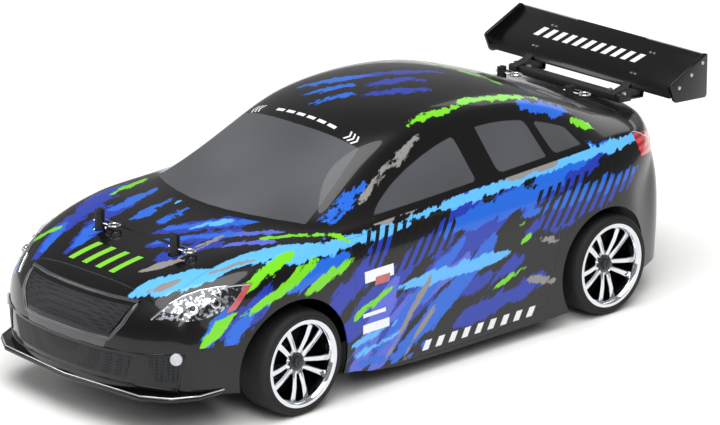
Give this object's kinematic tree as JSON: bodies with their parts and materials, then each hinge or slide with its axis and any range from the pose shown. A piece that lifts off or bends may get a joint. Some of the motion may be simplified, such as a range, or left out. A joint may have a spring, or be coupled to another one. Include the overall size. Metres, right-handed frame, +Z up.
{
  "type": "remote control car",
  "caption": "Electric remote control touring car with a painted saloon body shell, rear wing, chrome wheels, slick tyres, sprung suspension, steering and a shaft drive.",
  "frame": {"origin": "on the ground, under the middle of the overall box", "axes": "+Z up, the nose points along -Y, +X is the car's own left-hand side"},
  "size_m": [0.19, 0.462, 0.153],
  "materials": {
    "shell_paint": "gloss",
    "wing_plastic": "satin gloss",
    "moulded_nylon": "matte",
    "bumper_foam": "matte foam",
    "ground_steel": "ground",
    "servo_case": "matte",
    "battery_wrap": "shrink wrap",
    "motor_can": "satin",
    "controller_case": "matte",
    "gear_nylon": "satin",
    "pinion_steel": "satin",
    "clip_wire": "polished",
    "damper_plastic": "gloss",
    "wheel_chrome": "polished",
    "tyre_rubber": "matte"
  },
  "bodies": {
    "chassis": {"chassis_tub": "moulded_nylon", "bumper_foam": "bumper_foam", "front_gearbox": "moulded_nylon", "rear_gearbox": "moulded_nylon", "hinge_pins": "ground_steel", "damper_towers": "moulded_nylon", "body_posts": "moulded_nylon", "steering_servo": "servo_case", "battery_pack": "battery_wrap", "motor": "motor_can", "speed_controller": "controller_case"},
    "shell": {"body_shell": "shell_paint", "rear_wing": "wing_plastic", "wing_stands": "wing_plastic"},
    "switch": {"switch_slider": "controller_case"},
    "centre_shaft": {"centre_shaft": "ground_steel", "spur_gear": "gear_nylon"},
    "pinion": {"pinion_gear": "pinion_steel"},
    "servo_horn": {"servo_horn": "servo_case"},
    "drag_link": {"drag_link": "moulded_nylon"},
    "tie_rod_left": {"tie_rod_left": "moulded_nylon"},
    "tie_rod_right": {"tie_rod_right": "moulded_nylon"},
    "clip_front_left": {"clip_front_left": "clip_wire"},
    "clip_front_right": {"clip_front_right": "clip_wire"},
    "clip_rear_left": {"clip_rear_left": "clip_wire"},
    "clip_rear_right": {"clip_rear_right": "clip_wire"},
    "arm_front_left": {"lower_arm_front_left": "moulded_nylon"},
    "link_front_left": {"upper_link_front_left": "moulded_nylon"},
    "damper_front_left": {"damper_body_front_left": "damper_plastic"},
    "rod_front_left": {"damper_rod_front_left": "ground_steel"},
    "wheel_front_left": {"axle_front_left": "ground_steel", "wheel_front_left": "wheel_chrome", "tyre_front_left": "tyre_rubber"},
    "hub_front_left": {"c_hub_front_left": "moulded_nylon"},
    "knuckle_front_left": {"knuckle_front_left": "moulded_nylon"},
    "arm_front_right": {"lower_arm_front_right": "moulded_nylon"},
    "link_front_right": {"upper_link_front_right": "moulded_nylon"},
    "damper_front_right": {"damper_body_front_right": "damper_plastic"},
    "rod_front_right": {"damper_rod_front_right": "ground_steel"},
    "wheel_front_right": {"axle_front_right": "ground_steel", "wheel_front_right": "wheel_chrome", "tyre_front_right": "tyre_rubber"},
    "hub_front_right": {"c_hub_front_right": "moulded_nylon"},
    "knuckle_front_right": {"knuckle_front_right": "moulded_nylon"},
    "arm_rear_left": {"lower_arm_rear_left": "moulded_nylon"},
    "link_rear_left": {"upper_link_rear_left": "moulded_nylon"},
    "damper_rear_left": {"damper_body_rear_left": "damper_plastic"},
    "rod_rear_left": {"damper_rod_rear_left": "ground_steel"},
    "wheel_rear_left": {"axle_rear_left": "ground_steel", "wheel_rear_left": "wheel_chrome", "tyre_rear_left": "tyre_rubber"},
    "hub_rear_left": {"hub_carrier_rear_left": "moulded_nylon"},
    "arm_rear_right": {"lower_arm_rear_right": "moulded_nylon"},
    "link_rear_right": {"upper_link_rear_right": "moulded_nylon"},
    "damper_rear_right": {"damper_body_rear_right": "damper_plastic"},
    "rod_rear_right": {"damper_rod_rear_right": "ground_steel"},
    "wheel_rear_right": {"axle_rear_right": "ground_steel", "wheel_rear_right": "wheel_chrome", "tyre_rear_right": "tyre_rubber"},
    "hub_rear_right": {"hub_carrier_rear_right": "moulded_nylon"}
  },
  "joints": [
    {"name": "shell_lift", "type": "slide", "parent": "chassis", "child": "shell", "axis": [0, 0, 1], "range_m": [0, 0.12]},
    {"name": "clip_front_left_pull", "type": "slide", "parent": "shell", "child": "clip_front_left", "axis": [1, 0, 0], "range_m": [0, 0.02]},
    {"name": "clip_front_right_pull", "type": "slide", "parent": "shell", "child": "clip_front_right", "axis": [1, 0, 0], "range_m": [0, 0.02]},
    {"name": "clip_rear_left_pull", "type": "slide", "parent": "shell", "child": "clip_rear_left", "axis": [1, 0, 0], "range_m": [0, 0.02]},
    {"name": "clip_rear_right_pull", "type": "slide", "parent": "shell", "child": "clip_rear_right", "axis": [1, 0, 0], "range_m": [0, 0.02]},
    {"name": "power_switch", "type": "slide", "parent": "chassis", "child": "switch", "axis": [0, 1, 0], "range_m": [0, 0.006]},
    {"name": "centre_shaft_spin", "type": "hinge", "parent": "chassis", "child": "centre_shaft", "pos_m": [0, 0, 0.0275], "axis": [0, 1, 0], "continuous": true},
    {"name": "pinion_spin", "type": "hinge", "parent": "chassis", "child": "pinion", "pos_m": [0.02345, 0.09, 0.0275], "axis": [0, 1, 0], "continuous": true},
    {"name": "arm_front_left_swing", "type": "hinge", "parent": "chassis", "child": "arm_front_left", "pos_m": [0.022, -0.127, 0.015], "axis": [0, 1, 0], "range_deg": [-5, 5], "stiffness_Nm_per_rad": 2.2, "springref_deg": 3.15},
    {"name": "hub_front_left_pivot", "type": "hinge", "parent": "arm_front_left", "child": "hub_front_left", "pos_m": [0.062, -0.127, 0.015], "axis": [0, 1, 0], "range_deg": [-5.5, 5.5]},
    {"name": "link_front_left_swing", "type": "hinge", "parent": "chassis", "child": "link_front_left", "pos_m": [0.022, -0.118, 0.041], "axis": [0, 1, 0], "range_deg": [-5.5, 5.5]},
    {"name": "damper_front_left_swing", "type": "hinge", "parent": "chassis", "child": "damper_front_left", "pos_m": [0.036, -0.14, 0.066], "axis": [0, 1, 0], "range_deg": [-1, 1]},
    {"name": "rod_front_left_slide", "type": "slide", "parent": "damper_front_left", "child": "rod_front_left", "axis": [0.3064, 0, -0.9519], "range_m": [-0.0028, 0.0028]},
    {"name": "steer_left", "type": "hinge", "parent": "hub_front_left", "child": "knuckle_front_left", "pos_m": [0.068, -0.127, 0.032], "axis": [0, 0, 1], "range_deg": [-18, 18]},
    {"name": "wheel_front_left_spin", "type": "hinge", "parent": "knuckle_front_left", "child": "wheel_front_left", "pos_m": [0.082, -0.127, 0.032], "axis": [1, 0, 0], "continuous": true},
    {"name": "arm_front_right_swing", "type": "hinge", "parent": "chassis", "child": "arm_front_right", "pos_m": [-0.022, -0.127, 0.015], "axis": [0, -1, 0], "range_deg": [-5, 5], "stiffness_Nm_per_rad": 2.2, "springref_deg": 3.15},
    {"name": "hub_front_right_pivot", "type": "hinge", "parent": "arm_front_right", "child": "hub_front_right", "pos_m": [-0.062, -0.127, 0.015], "axis": [0, -1, 0], "range_deg": [-5.5, 5.5]},
    {"name": "link_front_right_swing", "type": "hinge", "parent": "chassis", "child": "link_front_right", "pos_m": [-0.022, -0.118, 0.041], "axis": [0, -1, 0], "range_deg": [-5.5, 5.5]},
    {"name": "damper_front_right_swing", "type": "hinge", "parent": "chassis", "child": "damper_front_right", "pos_m": [-0.036, -0.14, 0.066], "axis": [0, -1, 0], "range_deg": [-1, 1]},
    {"name": "rod_front_right_slide", "type": "slide", "parent": "damper_front_right", "child": "rod_front_right", "axis": [-0.3064, 0, -0.9519], "range_m": [-0.0028, 0.0028]},
    {"name": "steer_right", "type": "hinge", "parent": "hub_front_right", "child": "knuckle_front_right", "pos_m": [-0.068, -0.127, 0.032], "axis": [0, 0, 1], "range_deg": [-18.5, 18.5]},
    {"name": "wheel_front_right_spin", "type": "hinge", "parent": "knuckle_front_right", "child": "wheel_front_right", "pos_m": [-0.082, -0.127, 0.032], "axis": [1, 0, 0], "continuous": true},
    {"name": "arm_rear_left_swing", "type": "hinge", "parent": "chassis", "child": "arm_rear_left", "pos_m": [0.022, 0.133, 0.015], "axis": [0, 1, 0], "range_deg": [-5, 5], "stiffness_Nm_per_rad": 2.2, "springref_deg": 3.15},
    {"name": "hub_rear_left_pivot", "type": "hinge", "parent": "arm_rear_left", "child": "hub_rear_left", "pos_m": [0.062, 0.133, 0.015], "axis": [0, 1, 0], "range_deg": [-5.5, 5.5]},
    {"name": "link_rear_left_swing", "type": "hinge", "parent": "chassis", "child": "link_rear_left", "pos_m": [0.022, 0.124, 0.041], "axis": [0, 1, 0], "range_deg": [-5.5, 5.5]},
    {"name": "damper_rear_left_swing", "type": "hinge", "parent": "chassis", "child": "damper_rear_left", "pos_m": [0.036, 0.146, 0.066], "axis": [0, 1, 0], "range_deg": [-1, 1]},
    {"name": "rod_rear_left_slide", "type": "slide", "parent": "damper_rear_left", "child": "rod_rear_left", "axis": [0.3064, 0, -0.9519], "range_m": [-0.0028, 0.0028]},
    {"name": "wheel_rear_left_spin", "type": "hinge", "parent": "hub_rear_left", "child": "wheel_rear_left", "pos_m": [0.082, 0.133, 0.032], "axis": [1, 0, 0], "continuous": true},
    {"name": "arm_rear_right_swing", "type": "hinge", "parent": "chassis", "child": "arm_rear_right", "pos_m": [-0.022, 0.133, 0.015], "axis": [0, -1, 0], "range_deg": [-5, 5], "stiffness_Nm_per_rad": 2.2, "springref_deg": 3.15},
    {"name": "hub_rear_right_pivot", "type": "hinge", "parent": "arm_rear_right", "child": "hub_rear_right", "pos_m": [-0.062, 0.133, 0.015], "axis": [0, -1, 0], "range_deg": [-5.5, 5.5]},
    {"name": "link_rear_right_swing", "type": "hinge", "parent": "chassis", "child": "link_rear_right", "pos_m": [-0.022, 0.124, 0.041], "axis": [0, -1, 0], "range_deg": [-5.5, 5.5]},
    {"name": "damper_rear_right_swing", "type": "hinge", "parent": "chassis", "child": "damper_rear_right", "pos_m": [-0.036, 0.146, 0.066], "axis": [0, -1, 0], "range_deg": [-1, 1]},
    {"name": "rod_rear_right_slide", "type": "slide", "parent": "damper_rear_right", "child": "rod_rear_right", "axis": [-0.3064, 0, -0.9519], "range_m": [-0.0028, 0.0028]},
    {"name": "wheel_rear_right_spin", "type": "hinge", "parent": "hub_rear_right", "child": "wheel_rear_right", "pos_m": [-0.082, 0.133, 0.032], "axis": [1, 0, 0], "continuous": true},
    {"name": "drag_link_slide", "type": "slide", "parent": "chassis", "child": "drag_link", "axis": [1, 0, 0], "range_m": [-0.0071, 0.0071]},
    {"name": "servo_horn_turn", "type": "hinge", "parent": "chassis", "child": "servo_horn", "pos_m": [-0.028, -0.102, 0.018], "axis": [0, 1, 0], "range_deg": [-25.5, 25.5]},
    {"name": "tie_rod_left_swing", "type": "hinge", "parent": "drag_link", "child": "tie_rod_left", "pos_m": [0.022, -0.105, 0.0286], "axis": [0, 1, 0], "range_deg": [-5.5, 5.5]},
    {"name": "tie_rod_right_swing", "type": "hinge", "parent": "drag_link", "child": "tie_rod_right", "pos_m": [-0.022, -0.105, 0.0286], "axis": [0, -1, 0], "range_deg": [-5.5, 5.5]}
  ],
  "couplings": [
    {"joint": "centre_shaft_spin", "follows": "wheel_rear_left_spin", "ratio": 2.6},
    {"joint": "pinion_spin", "follows": "wheel_rear_left_spin", "ratio": -8.1714},
    {"joint": "hub_front_left_pivot", "follows": "arm_front_left_swing", "ratio": -1},
    {"joint": "link_front_left_swing", "follows": "arm_front_left_swing", "ratio": 1},
    {"joint": "damper_front_left_swing", "follows": "arm_front_left_swing", "ratio": 0.031486},
    {"joint": "rod_front_left_slide", "follows": "arm_front_left_swing", "m_per_rad": 0.028951},
    {"joint": "wheel_front_left_spin", "follows": "wheel_rear_left_spin", "ratio": 1},
    {"joint": "hub_front_right_pivot", "follows": "arm_front_right_swing", "ratio": -1},
    {"joint": "link_front_right_swing", "follows": "arm_front_right_swing", "ratio": 1},
    {"joint": "damper_front_right_swing", "follows": "arm_front_right_swing", "ratio": 0.031486},
    {"joint": "rod_front_right_slide", "follows": "arm_front_right_swing", "m_per_rad": 0.028951},
    {"joint": "steer_right", "follows": "steer_left", "ratio": 1},
    {"joint": "wheel_front_right_spin", "follows": "wheel_rear_left_spin", "ratio": 1},
    {"joint": "hub_rear_left_pivot", "follows": "arm_rear_left_swing", "ratio": -1},
    {"joint": "link_rear_left_swing", "follows": "arm_rear_left_swing", "ratio": 1},
    {"joint": "damper_rear_left_swing", "follows": "arm_rear_left_swing", "ratio": 0.031486},
    {"joint": "rod_rear_left_slide", "follows": "arm_rear_left_swing", "m_per_rad": 0.028951},
    {"joint": "hub_rear_right_pivot", "follows": "arm_rear_right_swing", "ratio": -1},
    {"joint": "link_rear_right_swing", "follows": "arm_rear_right_swing", "ratio": 1},
    {"joint": "damper_rear_right_swing", "follows": "arm_rear_right_swing", "ratio": 0.031486},
    {"joint": "rod_rear_right_slide", "follows": "arm_rear_right_swing", "m_per_rad": 0.028951},
    {"joint": "wheel_rear_right_spin", "follows": "wheel_rear_left_spin", "ratio": 1},
    {"joint": "drag_link_slide", "follows": "steer_left", "m_per_rad": -0.022},
    {"joint": "servo_horn_turn", "follows": "steer_left", "ratio": -1.375},
    {"joint": "tie_rod_left_swing", "follows": "arm_front_left_swing", "ratio": 1},
    {"joint": "tie_rod_right_swing", "follows": "arm_front_right_swing", "ratio": 1}
  ]
}
